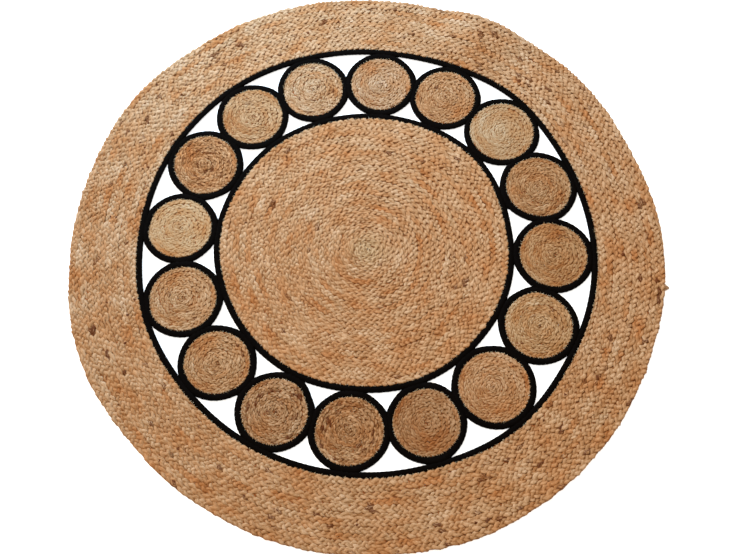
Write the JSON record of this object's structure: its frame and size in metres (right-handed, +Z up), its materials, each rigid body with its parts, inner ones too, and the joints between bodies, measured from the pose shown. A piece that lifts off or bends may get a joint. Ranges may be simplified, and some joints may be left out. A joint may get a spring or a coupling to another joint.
{
  "type": "round jute rug",
  "caption": "Round flat rug of coiled jute plait: a centre disc, a ring of small discs and a wide outer ring, sewn together at their black edgings.",
  "frame": {"origin": "on the floor under the middle of the rug's outline", "axes": "+Z up out of the rug's face, +Y away from the viewer, +X to the right"},
  "size_m": [1.2048, 1.1964, 0.0218],
  "materials": {
    "ring_jute": "matt three-strand jute plait, straw to rust with dark flecks",
    "centre_jute": "matt three-strand jute plait, straw to orange in long patches",
    "disc_jute": "matt fine jute plait, from pale straw to dark tan by disc",
    "black_edging": "matt black yarn cord"
  },
  "bodies": {
    "root": {"centre_coil": "centre_jute", "centre_edging": "black_edging", "disc_01_coil": "disc_jute", "disc_01_edging": "black_edging", "disc_02_coil": "disc_jute", "disc_02_edging": "black_edging", "disc_03_coil": "disc_jute", "disc_03_edging": "black_edging", "disc_04_coil": "disc_jute", "disc_04_edging": "black_edging", "disc_05_coil": "disc_jute", "disc_05_edging": "black_edging", "disc_06_coil": "disc_jute", "disc_06_edging": "black_edging", "disc_07_coil": "disc_jute", "disc_07_edging": "black_edging", "disc_08_coil": "disc_jute", "disc_08_edging": "black_edging", "disc_09_coil": "disc_jute", "disc_09_edging": "black_edging", "disc_10_coil": "disc_jute", "disc_10_edging": "black_edging", "disc_11_coil": "disc_jute", "disc_11_edging": "black_edging", "disc_12_coil": "disc_jute", "disc_12_edging": "black_edging", "disc_13_coil": "disc_jute", "disc_13_edging": "black_edging", "disc_14_coil": "disc_jute", "disc_14_edging": "black_edging", "disc_15_coil": "disc_jute", "disc_15_edging": "black_edging", "disc_16_coil": "disc_jute", "disc_16_edging": "black_edging", "ring_edging": "black_edging", "outer_ring": "ring_jute", "braid_end": "ring_jute"}
  },
  "joints": []
}
